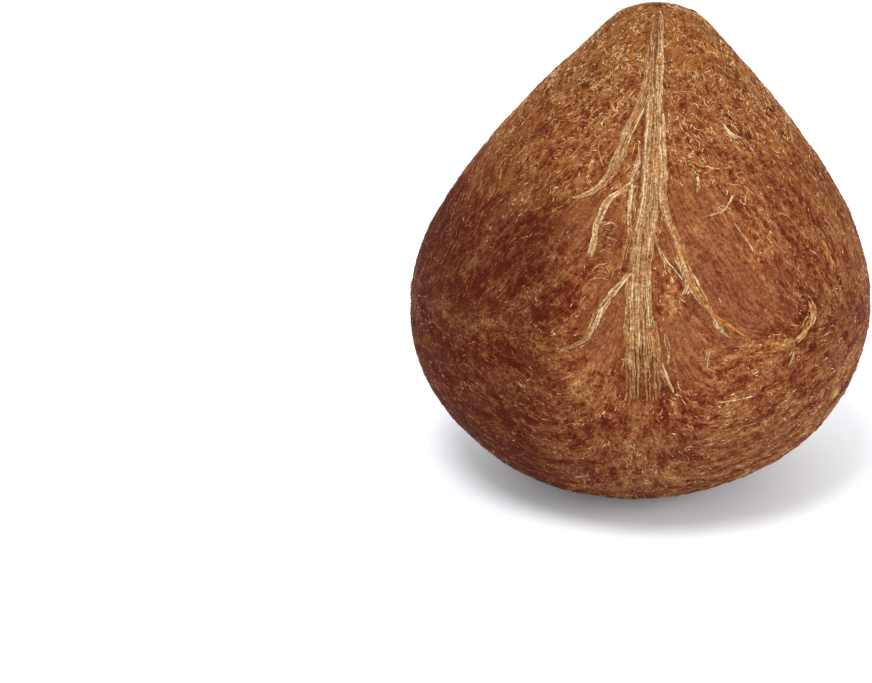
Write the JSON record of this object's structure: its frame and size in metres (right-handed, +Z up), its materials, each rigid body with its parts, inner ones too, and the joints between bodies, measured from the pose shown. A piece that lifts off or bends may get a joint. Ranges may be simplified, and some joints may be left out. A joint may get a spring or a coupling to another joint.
{
  "type": "coconut",
  "caption": "Whole dried coconut in its brown fibrous skin, pointed at the top, round below, with a raised branching vein; stands on a small flat spot.",
  "frame": {"origin": "centre of the small flat spot that the coconut stands on", "axes": "+Z up through the pointed tip, -Y towards the side that carries the main vein, +X to the right seen from that side"},
  "size_m": [0.1001, 0.1006, 0.105],
  "materials": {
    "coconut_skin": "dull reddish-brown fibrous skin with tan strands and a slight dry sheen"
  },
  "bodies": {
    "root": {"coconut": "coconut_skin"}
  },
  "joints": []
}
